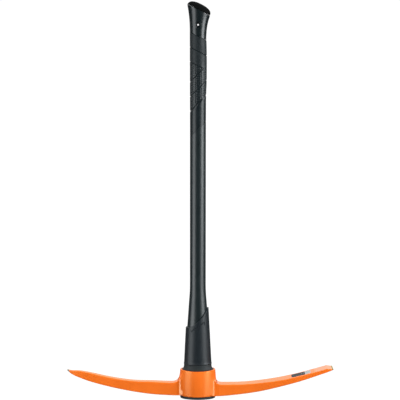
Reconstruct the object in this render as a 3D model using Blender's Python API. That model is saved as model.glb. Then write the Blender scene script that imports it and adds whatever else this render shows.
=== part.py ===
"""Pickaxe: a forged head on a jacketed fibreglass handle, standing on its foot.

Metres, +Z up the handle, +X towards the chisel, origin under the foot on the handle's axis.
"""
import math

import bmesh
import bpy
from mathutils import Matrix, Vector

# Fits, and how finely the round shapes are divided
CLEARANCE = 0.0003
CUT_MARGIN = 0.004
SHARP_ANGLE = math.radians(32.0)
OVAL_STEPS = 48
CUTTER_TURN_SHARE = 0.5
HOLE_STEPS = 32

# Overall height, where the butt's slanted top crosses the axis: a longer handle has a longer shaft
BUTT_TOP_HEIGHT = 0.8884

# Fibreglass core, whose end lies below the butt's top
CORE_WIDTH = 0.0240
CORE_DEPTH = 0.0190
CORE_END_DROP = 0.0464

# Foot flange and eye
FLANGE_THICKNESS = 0.0050
FLANGE_WIDTH = 0.0802
FLANGE_DEPTH = 0.0632
FLANGE_EDGE_RADIUS = 0.0010
EYE_FOOT_WIDTH = 0.0746
EYE_FOOT_DEPTH = 0.0526
EYE_MOUTH_WIDTH = 0.0726
EYE_MOUTH_DEPTH = 0.0506

# Boss round the eye
BOSS_HEIGHT = 0.0618
BOSS_END_WIDTH = 0.0804
BOSS_END_DEPTH = 0.0632
BOSS_BULGE = 0.0018
BOSS_EDGE_RADIUS = 0.0022
BOSS_STEPS = 6

# Pointed arm
PICK_REACH = 0.3005
PICK_RISE = 0.0572
PICK_DEPTH = 0.0302
PICK_BREADTH = 0.0250

# Chisel arm and its cutting edge, which lies nearer the arm's top than its underside
CHISEL_REACH = 0.3110
CHISEL_RISE = 0.0630
CHISEL_DEPTH = 0.0270
CHISEL_BREADTH = 0.0460
CHISEL_EDGE_THICKNESS = 0.0009
CHISEL_EDGE_BREADTH = 0.0442
CHISEL_EDGE_SHARE = 0.72

# Arm sections and the webs that join them to the boss
ARM_CORNER = 0.0026
ARM_CORNER_SHARE = 0.42
ARM_CROWN_STEPS = 5
ARM_CORNER_STEPS = 2
ARM_STEPS = 30
SIDE_WEB_RADIUS = 0.0180
SIDE_WEB_REACH = 0.0050
PICK_WEB_RADIUS = 0.0180
CHISEL_WEB_RADIUS = 0.0100
WEB_STEPS = 7

# Shares of an arm's reach, rise, depth and breadth, from the boss to the tip
PICK_SHAPE = (
    (0.00, 0.016, 0.97, 1.00),
    (0.10, 0.022, 0.97, 0.98),
    (0.26, 0.062, 0.955, 0.88),
    (0.43, 0.170, 0.80, 0.84),
    (0.62, 0.346, 0.71, 0.78),
    (0.79, 0.548, 0.66, 0.67),
    (0.885, 0.700, 0.54, 0.52),
    (0.96, 0.848, 0.29, 0.30),
    (1.00, 1.000, 0.08, 0.13),
)
CHISEL_SHAPE = (
    (0.00, 0.000, 1.00, 0.78),
    (0.07, 0.010, 0.99, 0.77),
    (0.235, 0.084, 0.84, 0.78),
    (0.40, 0.200, 0.72, 0.84),
    (0.565, 0.378, 0.555, 0.93),
    (0.73, 0.578, 0.463, 0.96),
    (0.90, 0.833, 0.343, 0.99),
    (0.948, 0.905, 0.318, 1.00),
)

# Jacket from the eye's mouth up: shoulder, neck, taper above the boot and even shaft
SHOULDER_RISE = 0.0112
SHOULDER_WIDTH = 0.0634
SHOULDER_DEPTH = 0.0478
SHOULDER_STEPS = 5
NECK_LEFT = 0.0242
NECK_RIGHT = 0.0213
NECK_DEPTH = 0.0368
NECK_ABOVE_BOOT = 0.0200
TAPER_LENGTH = 0.0340
TAPER_WIDTH = 0.0394
TAPER_DEPTH = 0.0318
TAPER_STEPS = 3
SHAFT_WIDTH = 0.0362
SHAFT_DEPTH = 0.0296
LOCATING_HOLE_BELOW_GRIP = 0.0344
LOCATING_HOLE_RADIUS = 0.0020
LOCATING_HOLE_DEPTH = 0.0020

# Guard boot: its top edge is low on the pick side and curves up to the chisel side
BOOT_WALL = 0.0031
BOOT_LENGTH = 0.0862
BOOT_EDGE_RISE = 0.0455
BOOT_EDGE_CURVE = 1.9
BOOT_GROOVE_RISE = 0.0023
BOOT_GROOVE_SLOPE = 0.70
BOOT_GROOVE_WIDTH = 0.0016
BOOT_GROOVE_DEPTH = 0.0010
BOOT_GROOVE_REACH = 0.0148

# Grip sleeve: its swell and its grooves are placed by their drop below the seam at the butt cap
GRIP_WALL = 0.0026
GRIP_LENGTH = 0.2100
GRIP_FOOT_SLOPE = 0.98
GRIP_SWELL = 0.0014
SWELL_START_DROP = 0.1510
SWELL_FULL_DROP = 0.0910
SWELL_END_DROP = 0.0650
GRIP_STEPS = 10
GRIP_GROOVE_WIDTH = 0.0020
GRIP_GROOVE_DEPTH = 0.0012
UPPER_GROOVE_DROP = 0.0340
CHEVRON_UPPER_DROP = 0.0665
CHEVRON_LOWER_DROP = 0.0850
CHEVRON_REACH = 0.0120
MIDDLE_GROOVE_DROP = 0.1185
LOWER_GROOVE_DROP = 0.1510
LOWER_GROOVE_SLOPE = 0.98

# Butt cap and pad
BUTT_SLANT = math.radians(27.0)
KNOB_LENGTH = 0.0594
SKIRT_LENGTH = 0.0290
BUTT_WIDTH = 0.0374
BUTT_DEPTH = 0.0308
KNOB_LEFT = 0.0246
KNOB_RIGHT = 0.0270
KNOB_DEPTH = 0.0384
KNOB_FLARE = 2.3
KNOB_STEPS = 8
HANG_HOLE_DROP = 0.0341
HANG_HOLE_RADIUS = 0.0030
HANG_RECESS_WIDTH = 0.0096
HANG_RECESS_LENGTH = 0.0146
HANG_RECESS_DEPTH = 0.0030
PAD_HEIGHT = 0.0143
PAD_INSET = 0.0006
PAD_ROUNDNESS = 2.4
PAD_STEPS = 10
PEG_WIDTH = 0.0240
PEG_DEPTH = 0.0160
PEG_LENGTH = 0.0080

# Label on the chisel arm, set back from the cutting edge
LABEL_SET_BACK = 0.0503
LABEL_LENGTH = 0.0450
LABEL_WIDTH = 0.0340
LABEL_THICKNESS = 0.0004
LABEL_STEPS = 8

# Heights and sizes that follow from the ones above
BOSS_FOOT = FLANGE_THICKNESS + CLEARANCE
BOSS_TOP = BOSS_FOOT + BOSS_HEIGHT
SHOULDER_TOP = BOSS_TOP + SHOULDER_RISE
SEAT_WIDTH = SHOULDER_WIDTH - 2 * (BOOT_WALL + CLEARANCE)
SEAT_DEPTH = SHOULDER_DEPTH - 2 * (BOOT_WALL + CLEARANCE)
BOOT_EDGE_LOW = SHOULDER_TOP + BOOT_LENGTH
BOOT_GROOVE_HEIGHT = BOOT_EDGE_LOW + BOOT_GROOVE_RISE
TAPER_HEIGHT = BOOT_EDGE_LOW + BOOT_EDGE_RISE + NECK_ABOVE_BOOT
SHAFT_HEIGHT = TAPER_HEIGHT + TAPER_LENGTH
BUTT_SEAM_HEIGHT = BUTT_TOP_HEIGHT - KNOB_LENGTH
HANG_HOLE_HEIGHT = BUTT_TOP_HEIGHT - HANG_HOLE_DROP
SKIRT_FOOT_HEIGHT = BUTT_SEAM_HEIGHT - SKIRT_LENGTH
CORE_TOP = BUTT_TOP_HEIGHT - CORE_END_DROP
GRIP_FOOT_HEIGHT = BUTT_SEAM_HEIGHT - GRIP_LENGTH
LOCATING_HOLE_HEIGHT = GRIP_FOOT_HEIGHT - LOCATING_HOLE_BELOW_GRIP
GRIP_BED_WIDTH = SHAFT_WIDTH - 2 * GRIP_WALL
GRIP_BED_DEPTH = SHAFT_DEPTH - 2 * GRIP_WALL
BUTT_SLOPE = -math.tan(BUTT_SLANT)
ARM_ROOT = BOSS_END_WIDTH / 2 - CHISEL_WEB_RADIUS / 2
BOSS_SIDE = BOSS_END_WIDTH / 2 + BOSS_BULGE
LABEL_START = CHISEL_REACH - LABEL_SET_BACK - LABEL_LENGTH


def clear_scene():
    for old in list(bpy.data.objects):
        bpy.data.objects.remove(old, do_unlink=True)


def new_collection(name):
    collection = bpy.data.collections.new(name)
    bpy.context.scene.collection.children.link(collection)
    return collection


def new_material(name, color, roughness, metallic=0.0):
    material = bpy.data.materials.new(name)
    material.use_nodes = True
    shader = material.node_tree.nodes["Principled BSDF"]
    shader.inputs["Base Color"].default_value = (*color, 1.0)
    shader.inputs["Roughness"].default_value = roughness
    shader.inputs["Metallic"].default_value = metallic
    return material


def mesh_object(name, bm, collection, material=None):
    """Turn a bmesh into a named object, shaded smooth with its hard edges kept."""
    bmesh.ops.recalc_face_normals(bm, faces=bm.faces)
    mesh = bpy.data.meshes.new(name)
    bm.to_mesh(mesh)
    bm.free()
    mesh.shade_smooth()
    mesh.set_sharp_from_angle(angle=SHARP_ANGLE)
    if material:
        mesh.materials.append(material)
    made = bpy.data.objects.new(name, mesh)
    collection.objects.link(made)
    return made


def cut(target, cutter, operation="DIFFERENCE"):
    """Apply one exact Boolean to the target, and keep the cutter as a hidden guide."""
    modifier = target.modifiers.new(operation.lower(), "BOOLEAN")
    modifier.operation = operation
    modifier.solver = "EXACT"
    modifier.object = cutter
    evaluated = target.evaluated_get(bpy.context.evaluated_depsgraph_get())
    mesh = bpy.data.meshes.new_from_object(evaluated)
    target.modifiers.remove(modifier)
    target.data = mesh
    mesh.set_sharp_from_angle(angle=SHARP_ANGLE)
    cutter.hide_render = True
    cutter.display_type = "WIRE"


def oval(height, width, depth, slope=0.0, left=None, right=None, turn=0.0):
    """One oval ring round the handle's axis, tilted by slope along X and turned by a share of a step."""
    left = width / 2 if left is None else left
    right = width / 2 if right is None else right
    points = []
    for step in range(OVAL_STEPS):
        angle = 2 * math.pi * (step + turn) / OVAL_STEPS
        reach = right if math.cos(angle) > 0 else left
        x = reach * math.cos(angle)
        points.append(Vector((x, depth / 2 * math.sin(angle), height + slope * x)))
    return points


def loft(rings, closed=False):
    """Skin a row of like rings; closed joins the last to the first, else both ends are capped."""
    bm = bmesh.new()
    rows = [[bm.verts.new(point) for point in ring] for ring in rings]
    pairs = list(zip(rows, rows[1:]))
    if closed:
        pairs.append((rows[-1], rows[0]))
    else:
        bm.faces.new(rows[0])
        bm.faces.new(rows[-1])
    for lower, upper in pairs:
        for index in range(len(lower)):
            following = (index + 1) % len(lower)
            bm.faces.new((lower[index], lower[following], upper[following], upper[index]))
    return bm


def blend(start, end, share):
    return start + (end - start) * share


def within_unit(share):
    return min(max(share, 0.0), 1.0)


def smooth_row(row, share):
    """Read a smooth curve through a row of stations whose first value is the share."""
    for index in range(len(row) - 1):
        if share <= row[index + 1][0]:
            break
    before = row[max(index - 1, 0)]
    start = row[index]
    end = row[index + 1]
    after = row[min(index + 2, len(row) - 1)]
    span = end[0] - start[0]
    t = (share - start[0]) / span
    values = []
    for item in range(1, len(start)):
        slope_start = (end[item] - before[item]) / (end[0] - before[0]) * span
        slope_end = (after[item] - start[item]) / (after[0] - start[0]) * span
        values.append(
            (2 * t**3 - 3 * t**2 + 1) * start[item] + (t**3 - 2 * t**2 + t) * slope_start
            + (3 * t**2 - 2 * t**3) * end[item] + (t**3 - t**2) * slope_end)
    return values


def tilted_band(height, skin, reach, width, slope):
    """A tilted band that cuts a groove of the given reach into a skin: left, right and depth.

    Its edges stand between the skin's own, so that none of them coincide.
    """
    half = width / 2 * math.hypot(1.0, slope)
    rings = []
    for rise, grow in ((-half, CUT_MARGIN), (half, CUT_MARGIN), (half, -reach), (-half, -reach)):
        left, right, depth = skin[0] + grow, skin[1] + grow, skin[2] + 2 * grow
        rings.append(oval(height + rise, None, depth, slope, left, right, CUTTER_TURN_SHARE))
    return loft(rings, closed=True)


def keep_side(bm, x, side):
    """Trim a closed band to one side of the plane across X, and close what the plane opened."""
    geometry = bm.verts[:] + bm.edges[:] + bm.faces[:]
    found = bmesh.ops.bisect_plane(
        bm, geom=geometry, plane_co=(x, 0.0, 0.0), plane_no=(side, 0.0, 0.0), clear_outer=True)
    edges = [item for item in found["geom_cut"] if isinstance(item, bmesh.types.BMEdge)]
    bmesh.ops.holes_fill(bm, edges=edges)


def cross_hole(radius, length, middle, height):
    """A round cutter along Y, square to the handle."""
    bm = bmesh.new()
    bmesh.ops.create_cone(
        bm, cap_ends=True, segments=HOLE_STEPS, radius1=radius, radius2=radius, depth=length)
    bm.transform(Matrix.Translation((0.0, middle, height)) @ Matrix.Rotation(math.pi / 2, 4, "X"))
    return bm


def make_core(parts):
    material = new_material("fibreglass", color=(0.62, 0.55, 0.36), roughness=0.45)
    rings = [oval(0.0, CORE_WIDTH, CORE_DEPTH), oval(CORE_TOP, CORE_WIDTH, CORE_DEPTH)]
    return mesh_object("fibreglass_core", loft(rings), parts, material)


def core_bore(top, foot):
    """Wall of the bore that the core fills, from the top down."""
    width = CORE_WIDTH + 2 * CLEARANCE
    depth = CORE_DEPTH + 2 * CLEARANCE
    return [oval(top, width, depth), oval(foot, width, depth)]


def eye_size(height, margin=0.0):
    """Width and depth of the tapered eye at a height, widened by a margin on each side."""
    share = (height - BOSS_FOOT) / BOSS_HEIGHT
    width = blend(EYE_FOOT_WIDTH, EYE_MOUTH_WIDTH, share)
    depth = blend(EYE_FOOT_DEPTH, EYE_MOUTH_DEPTH, share)
    return width + 2 * margin, depth + 2 * margin


def boot_edge_height(share):
    """Height of the boot's top edge at a share of the neck's width, from left to right."""
    return BOOT_EDGE_LOW + BOOT_EDGE_RISE * share**BOOT_EDGE_CURVE


def neck_ring(grow=0.0):
    """The jacket's skin along the boot's curved top edge, grown by a margin."""
    left, right, depth = NECK_LEFT + grow, NECK_RIGHT + grow, NECK_DEPTH + 2 * grow
    ring = oval(0.0, None, depth, left=left, right=right)
    for point in ring:
        point.z = boot_edge_height(within_unit((point.x + left) / (left + right)))
    return ring


def shoulder_rings():
    """The cove that narrows the plug at the eye's mouth to the shoulder under the boot."""
    plug_width, plug_depth = eye_size(BOSS_TOP, -CLEARANCE)
    rings = []
    for step in range(SHOULDER_STEPS + 1):
        turn = math.pi / 2 * step / SHOULDER_STEPS
        height = blend(BOSS_TOP, SHOULDER_TOP, 1 - math.cos(turn))
        width = blend(plug_width, SHOULDER_WIDTH, math.sin(turn))
        depth = blend(plug_depth, SHOULDER_DEPTH, math.sin(turn))
        rings.append(oval(height, width, depth))
    return rings


def taper_rings():
    """The stretch above the boot that slims down to the shaft and runs out level with it."""
    rings = []
    for step in range(TAPER_STEPS + 1):
        share = step / TAPER_STEPS
        slimmed = 1 - (1 - share) ** 2
        width = blend(TAPER_WIDTH, SHAFT_WIDTH, slimmed)
        depth = blend(TAPER_DEPTH, SHAFT_DEPTH, slimmed)
        rings.append(oval(blend(TAPER_HEIGHT, SHAFT_HEIGHT, share), width, depth))
    return rings


def jacket_rings():
    """Outside of the jacket, from the flange's underside to the end under the butt cap."""
    edge = FLANGE_EDGE_RADIUS
    rings = [
        oval(0.0, FLANGE_WIDTH - 2 * edge, FLANGE_DEPTH - 2 * edge),
        oval(edge, FLANGE_WIDTH, FLANGE_DEPTH),
        oval(FLANGE_THICKNESS, FLANGE_WIDTH, FLANGE_DEPTH),
        oval(FLANGE_THICKNESS, *eye_size(FLANGE_THICKNESS, -CLEARANCE)),
    ]
    rings += shoulder_rings()
    rings += [oval(SHOULDER_TOP, SEAT_WIDTH, SEAT_DEPTH), neck_ring()]
    rings += taper_rings()
    rings += [
        oval(GRIP_FOOT_HEIGHT - SHAFT_WIDTH, SHAFT_WIDTH, SHAFT_DEPTH),
        oval(GRIP_FOOT_HEIGHT, SHAFT_WIDTH, SHAFT_DEPTH, GRIP_FOOT_SLOPE),
        oval(GRIP_FOOT_HEIGHT, GRIP_BED_WIDTH, GRIP_BED_DEPTH, GRIP_FOOT_SLOPE),
        oval(SKIRT_FOOT_HEIGHT, GRIP_BED_WIDTH, GRIP_BED_DEPTH),
    ]
    return rings


def make_jacket(parts, cutters):
    material = new_material("jacket plastic", color=(0.030, 0.033, 0.035), roughness=0.32)
    rings = jacket_rings() + core_bore(SKIRT_FOOT_HEIGHT, 0.0)
    jacket = mesh_object("handle_jacket", loft(rings, closed=True), parts, material)
    length = LOCATING_HOLE_DEPTH + CUT_MARGIN
    middle = -SHAFT_DEPTH / 2 + LOCATING_HOLE_DEPTH - length / 2
    hole = cross_hole(LOCATING_HOLE_RADIUS, length, middle, LOCATING_HOLE_HEIGHT)
    cut(jacket, mesh_object("locating_hole_cutter", hole, cutters))
    return jacket


def boot_skin_share(height, edge_height):
    """How far up the boot's side a height lies, from the shoulder (0) to the top edge (1)."""
    return (height - SHOULDER_TOP) / (edge_height - SHOULDER_TOP)


def boot_skin(height, slope):
    """Left, right and depth of the boot's outside along a tilted ring."""
    grow = CLEARANCE + BOOT_WALL
    left, right, depth = NECK_LEFT + grow, NECK_RIGHT + grow, NECK_DEPTH + 2 * grow
    left_share = boot_skin_share(height - slope * left, boot_edge_height(0.0))
    right_share = boot_skin_share(height + slope * right, boot_edge_height(1.0))
    depth_share = boot_skin_share(height, boot_edge_height(left / (left + right)))
    return (blend(SHOULDER_WIDTH / 2, left, left_share), blend(SHOULDER_WIDTH / 2, right, right_share),
            blend(SHOULDER_DEPTH, depth, depth_share))


def make_boot(parts, cutters):
    material = new_material("boot rubber", color=(0.040, 0.041, 0.043), roughness=0.55)
    foot = SHOULDER_TOP + CLEARANCE
    rings = [
        oval(foot, SHOULDER_WIDTH, SHOULDER_DEPTH),
        neck_ring(CLEARANCE + BOOT_WALL),
        neck_ring(CLEARANCE),
        oval(foot, SEAT_WIDTH + 2 * CLEARANCE, SEAT_DEPTH + 2 * CLEARANCE),
    ]
    boot = mesh_object("guard_boot", loft(rings, closed=True), parts, material)
    skin = boot_skin(BOOT_GROOVE_HEIGHT, BOOT_GROOVE_SLOPE)
    band = tilted_band(BOOT_GROOVE_HEIGHT, skin, BOOT_GROOVE_DEPTH, BOOT_GROOVE_WIDTH, BOOT_GROOVE_SLOPE)
    for side in (-1, 1):
        keep_side(band, side * BOOT_GROOVE_REACH, side)
    cut(boot, mesh_object("boot_groove_cutter", band, cutters))
    return boot


def grip_outside(height):
    """Half width to the left and to the right, and the depth, of the grip at a height."""
    drop = BUTT_SEAM_HEIGHT - height
    share = within_unit(1 - drop / GRIP_LENGTH)
    swelling = within_unit((SWELL_START_DROP - drop) / (SWELL_START_DROP - SWELL_FULL_DROP))
    fading = within_unit(1 - drop / SWELL_END_DROP)
    swell = GRIP_SWELL * swelling**2 * (3 - 2 * swelling) * (1 - fading**2)
    width = blend(SHAFT_WIDTH, BUTT_WIDTH, share)
    depth = blend(SHAFT_DEPTH, BUTT_DEPTH, share)
    return width / 2, width / 2 + swell, depth + swell


def grip_ring(height, slope=0.0):
    left, right, depth = grip_outside(height)
    return oval(height, None, depth, slope, left=left, right=right)


def make_grip(parts, cutters):
    material = new_material("grip rubber", color=(0.045, 0.047, 0.050), roughness=0.50)
    foot = GRIP_FOOT_HEIGHT + CLEARANCE * math.hypot(1.0, GRIP_FOOT_SLOPE)
    top = BUTT_SEAM_HEIGHT - CLEARANCE * math.hypot(1.0, BUTT_SLOPE)
    inner = (GRIP_BED_WIDTH + 2 * CLEARANCE, GRIP_BED_DEPTH + 2 * CLEARANCE)
    lowest = foot + GRIP_FOOT_SLOPE * SHAFT_WIDTH / 2 + CUT_MARGIN
    highest = top + BUTT_SLOPE * BUTT_WIDTH / 2 - CUT_MARGIN
    rings = [oval(foot, SHAFT_WIDTH, SHAFT_DEPTH, GRIP_FOOT_SLOPE)]
    for step in range(GRIP_STEPS + 1):
        rings.append(grip_ring(blend(lowest, highest, step / GRIP_STEPS)))
    rings.append(oval(top, BUTT_WIDTH, BUTT_DEPTH, BUTT_SLOPE))
    rings.append(oval(top, *inner, BUTT_SLOPE))
    rings.append(oval(foot, *inner, GRIP_FOOT_SLOPE))
    grip = mesh_object("grip_sleeve", loft(rings, closed=True), parts, material)
    for name, band in grip_grooves():
        cut(grip, mesh_object(name, band, cutters))
    return grip


def grip_band(drop, slope):
    """Cutter for a slanted groove that crosses the axis at a drop below the grip's upper seam."""
    height = BUTT_SEAM_HEIGHT - drop
    return tilted_band(height, grip_outside(height), GRIP_GROOVE_DEPTH, GRIP_GROOVE_WIDTH, slope)


def grip_grooves():
    """Cutters for the slanted grooves: one upper ring, a chevron and the lower rings."""
    bands = [("upper_groove_cutter", grip_band(UPPER_GROOVE_DROP, BUTT_SLOPE))]
    chevron_upper = grip_band(CHEVRON_UPPER_DROP, BUTT_SLOPE)
    keep_side(chevron_upper, CHEVRON_REACH, 1)
    bands.append(("chevron_upper_cutter", chevron_upper))
    chevron_lower = grip_band(CHEVRON_LOWER_DROP, LOWER_GROOVE_SLOPE)
    keep_side(chevron_lower, CHEVRON_REACH + GRIP_GROOVE_WIDTH / 4, 1)
    bands.append(("chevron_lower_cutter", chevron_lower))
    bands.append(("middle_groove_cutter", grip_band(MIDDLE_GROOVE_DROP, LOWER_GROOVE_SLOPE)))
    bands.append(("lower_groove_cutter", grip_band(LOWER_GROOVE_DROP, LOWER_GROOVE_SLOPE)))
    return bands


def knob_size(height):
    """Left, right and depth of the butt cap where its slanted ring crosses the axis at a height."""
    flare = within_unit((height - BUTT_SEAM_HEIGHT) / (BUTT_TOP_HEIGHT - BUTT_SEAM_HEIGHT)) ** KNOB_FLARE
    left = blend(BUTT_WIDTH / 2, KNOB_LEFT, flare)
    right = blend(BUTT_WIDTH / 2, KNOB_RIGHT, flare)
    return left, right, blend(BUTT_DEPTH, KNOB_DEPTH, flare)


def knob_ring(height):
    left, right, depth = knob_size(height)
    return oval(height, None, depth, BUTT_SLOPE, left=left, right=right)


def slanted_oval(drop, width, depth):
    """An oval parallel to the butt's slanted top, below it by drop along the slant's normal."""
    middle = (KNOB_RIGHT - KNOB_LEFT) / 2
    across = Vector((math.cos(BUTT_SLANT), 0.0, -math.sin(BUTT_SLANT)))
    outwards = Vector((math.sin(BUTT_SLANT), 0.0, math.cos(BUTT_SLANT)))
    centre = Vector((middle, 0.0, BUTT_TOP_HEIGHT + BUTT_SLOPE * middle)) - outwards * drop
    points = []
    for step in range(OVAL_STEPS):
        angle = 2 * math.pi * step / OVAL_STEPS
        side = Vector((0.0, depth / 2 * math.sin(angle), 0.0))
        points.append(centre + across * (width / 2 * math.cos(angle)) + side)
    return points


def make_butt_cap(parts, cutters):
    material = new_material("butt plastic", color=(0.028, 0.031, 0.033), roughness=0.26)
    skirt_foot = SKIRT_FOOT_HEIGHT + CLEARANCE
    rings = core_bore(CORE_TOP + CLEARANCE, skirt_foot)
    rings.append(oval(skirt_foot, GRIP_BED_WIDTH, GRIP_BED_DEPTH))
    rings.append(oval(BUTT_SEAM_HEIGHT, GRIP_BED_WIDTH, GRIP_BED_DEPTH, BUTT_SLOPE))
    for step in range(KNOB_STEPS + 1):
        rings.append(knob_ring(blend(BUTT_SEAM_HEIGHT, BUTT_TOP_HEIGHT, step / KNOB_STEPS)))
    pocket = (PEG_WIDTH + 2 * CLEARANCE, PEG_DEPTH + 2 * CLEARANCE)
    rings.append(slanted_oval(0.0, *pocket))
    rings.append(slanted_oval(PEG_LENGTH + CLEARANCE, *pocket))
    cap = mesh_object("butt_cap", loft(rings), parts, material)
    hole = cross_hole(HANG_HOLE_RADIUS, KNOB_DEPTH + 2 * CUT_MARGIN, 0.0, HANG_HOLE_HEIGHT)
    cut(cap, mesh_object("hang_hole_cutter", hole, cutters))
    for side, name in ((-1, "hang_recess_front_cutter"), (1, "hang_recess_back_cutter")):
        cut(cap, mesh_object(name, hang_recess(side), cutters))
    return cap


def hang_recess(side):
    """The oval dish round one mouth of the hang hole."""
    skin = knob_size(HANG_HOLE_HEIGHT)[2] / 2
    length = HANG_RECESS_DEPTH + CUT_MARGIN
    middle = side * (skin - HANG_RECESS_DEPTH + length / 2)
    bm = cross_hole(HANG_RECESS_WIDTH / 2, length, middle, 0.0)
    bmesh.ops.scale(bm, verts=bm.verts, vec=(1.0, 1.0, HANG_RECESS_LENGTH / HANG_RECESS_WIDTH))
    bmesh.ops.translate(bm, verts=bm.verts, vec=(0.0, 0.0, HANG_HOLE_HEIGHT))
    return bm


def make_butt_pad(parts):
    material = new_material("pad rubber", color=(0.016, 0.017, 0.018), roughness=0.70)
    base_width = (KNOB_LEFT + KNOB_RIGHT) / math.cos(BUTT_SLANT) - 2 * PAD_INSET
    base_depth = KNOB_DEPTH - 2 * PAD_INSET
    rings = [slanted_oval(PEG_LENGTH, PEG_WIDTH, PEG_DEPTH), slanted_oval(-CLEARANCE, PEG_WIDTH, PEG_DEPTH)]
    for step in range(PAD_STEPS):
        turn = math.pi / 2 * step / PAD_STEPS
        rise = math.sin(turn) ** (2 / PAD_ROUNDNESS)
        size = math.cos(turn) ** (2 / PAD_ROUNDNESS)
        drop = -blend(CLEARANCE, PAD_HEIGHT, rise)
        rings.append(slanted_oval(drop, base_width * size, base_depth * size))
    return mesh_object("butt_pad", loft(rings), parts, material)


def boss_solid():
    """The eye's outer wall as a solid, bulging a little at its middle."""
    edge = BOSS_EDGE_RADIUS
    chamfered = (BOSS_END_WIDTH - 2 * edge, BOSS_END_DEPTH - 2 * edge)
    rings = [oval(BOSS_FOOT, *chamfered)]
    for step in range(BOSS_STEPS + 1):
        share = step / BOSS_STEPS
        height = blend(BOSS_FOOT + edge, BOSS_TOP - edge, share)
        bulge = BOSS_BULGE * math.sin(math.pi * share)
        rings.append(oval(height, BOSS_END_WIDTH + 2 * bulge, BOSS_END_DEPTH + 2 * bulge))
    rings.append(oval(BOSS_TOP, *chamfered))
    return loft(rings)


def arm_section(x, foot, top, breadth, crown):
    """A block section across an arm at x, with small lower corners and upper corners of radius crown."""
    half = breadth / 2
    limit = ARM_CORNER_SHARE * min(breadth, top - foot)
    low = min(ARM_CORNER, limit)
    high = min(crown, limit)
    corners = (
        (half - high, top - high, high, 0.0, ARM_CROWN_STEPS),
        (-half + high, top - high, high, 90.0, ARM_CROWN_STEPS),
        (-half + low, foot + low, low, 180.0, ARM_CORNER_STEPS),
        (half - low, foot + low, low, 270.0, ARM_CORNER_STEPS),
    )
    points = []
    for y, z, radius, start, steps in corners:
        for step in range(steps + 1):
            angle = math.radians(start + 90.0 * step / steps)
            points.append(Vector((x, y + radius * math.cos(angle), z + radius * math.sin(angle))))
    return points


def web(distance, radius):
    """How far a quarter-round web stands out, at a distance from its far end."""
    inside = min(max(distance, 0.0), radius)
    return radius - math.sqrt(radius**2 - inside**2)


def arm_profile(shape, reach, rise, depth, breadth, share):
    """Distance from the axis, underside, top and breadth of an arm at a share of its length."""
    lift, tall, broad = smooth_row(shape, share)
    distance = blend(ARM_ROOT, reach, share)
    foot = BOSS_FOOT + rise * lift
    return distance, foot, foot + depth * tall, breadth * broad


def pick_profile(share):
    return arm_profile(PICK_SHAPE, PICK_REACH, PICK_RISE, PICK_DEPTH, PICK_BREADTH, share)


def chisel_profile(share):
    return arm_profile(CHISEL_SHAPE, CHISEL_REACH, CHISEL_RISE, CHISEL_DEPTH, CHISEL_BREADTH, share)


def arm_sections(side, profile, reach, last, web_radius):
    """Sections of one arm, close together in the webs where it runs into the boss, then even."""
    web_end = BOSS_SIDE + web_radius
    near = (web_end - ARM_ROOT) / (reach - ARM_ROOT)
    shares = [near * step / WEB_STEPS for step in range(WEB_STEPS)]
    shares += [blend(near, last, step / ARM_STEPS) for step in range(ARM_STEPS + 1)]
    sections = []
    for share in shares:
        distance, foot, top, breadth = profile(share)
        top_web = web(web_end - distance, web_radius)
        side_web = web(BOSS_SIDE + SIDE_WEB_REACH - distance, SIDE_WEB_RADIUS)
        crown = ARM_CORNER + top_web
        sections.append(arm_section(side * distance, foot, top + top_web, breadth + 2 * side_web, crown))
    return sections


def make_pick_arm(cutters):
    sections = arm_sections(-1, pick_profile, PICK_REACH, PICK_SHAPE[-1][0], PICK_WEB_RADIUS)
    return mesh_object("pick_arm_union", loft(sections), cutters)


def make_chisel_arm(cutters):
    last = CHISEL_SHAPE[-1][0]
    sections = arm_sections(1, chisel_profile, CHISEL_REACH, last, CHISEL_WEB_RADIUS)
    foot, top = chisel_profile(last)[1:3]
    edge_foot = blend(foot, top, CHISEL_EDGE_SHARE)
    edge_top = edge_foot + CHISEL_EDGE_THICKNESS
    sections.append(arm_section(CHISEL_REACH, edge_foot, edge_top, CHISEL_EDGE_BREADTH, ARM_CORNER))
    return mesh_object("chisel_arm_union", loft(sections), cutters)


def make_head(parts, cutters):
    material = new_material("head paint", color=(0.84, 0.17, 0.02), roughness=0.35)
    head = mesh_object("pick_head", boss_solid(), parts, material)
    cut(head, make_pick_arm(cutters), "UNION")
    cut(head, make_chisel_arm(cutters), "UNION")
    low = BOSS_FOOT - CUT_MARGIN
    high = BOSS_TOP + CUT_MARGIN
    eye = loft([oval(low, *eye_size(low)), oval(high, *eye_size(high))])
    cut(head, mesh_object("eye_cutter", eye, cutters))
    return head


def make_label(parts):
    """A thin plate that follows the top of the chisel arm."""
    material = new_material("label film", color=(0.16, 0.17, 0.18), roughness=0.40)
    half = LABEL_WIDTH / 2
    rings = []
    for step in range(LABEL_STEPS + 1):
        x = LABEL_START + LABEL_LENGTH * step / LABEL_STEPS
        low = chisel_profile((x - ARM_ROOT) / (CHISEL_REACH - ARM_ROOT))[2] + CLEARANCE
        high = low + LABEL_THICKNESS
        rings.append([Vector((x, -half, low)), Vector((x, half, low)),
                      Vector((x, half, high)), Vector((x, -half, high))])
    return mesh_object("arm_label", loft(rings), parts, material)


def build():
    clear_scene()
    parts = new_collection("pickaxe")
    cutters = new_collection("cutters")
    make_core(parts)
    make_jacket(parts, cutters)
    make_boot(parts, cutters)
    make_grip(parts, cutters)
    make_butt_cap(parts, cutters)
    make_butt_pad(parts)
    make_head(parts, cutters)
    make_label(parts)


build()
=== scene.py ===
"""Pickaxe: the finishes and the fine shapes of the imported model, in the order of assembly.

Metres, +Z up the handle, +X towards the chisel, front of the object towards -Y.
"""
import math

import bmesh
import bpy
from mathutils import Matrix, Vector, noise
from mathutils.bvhtree import BVHTree


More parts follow.
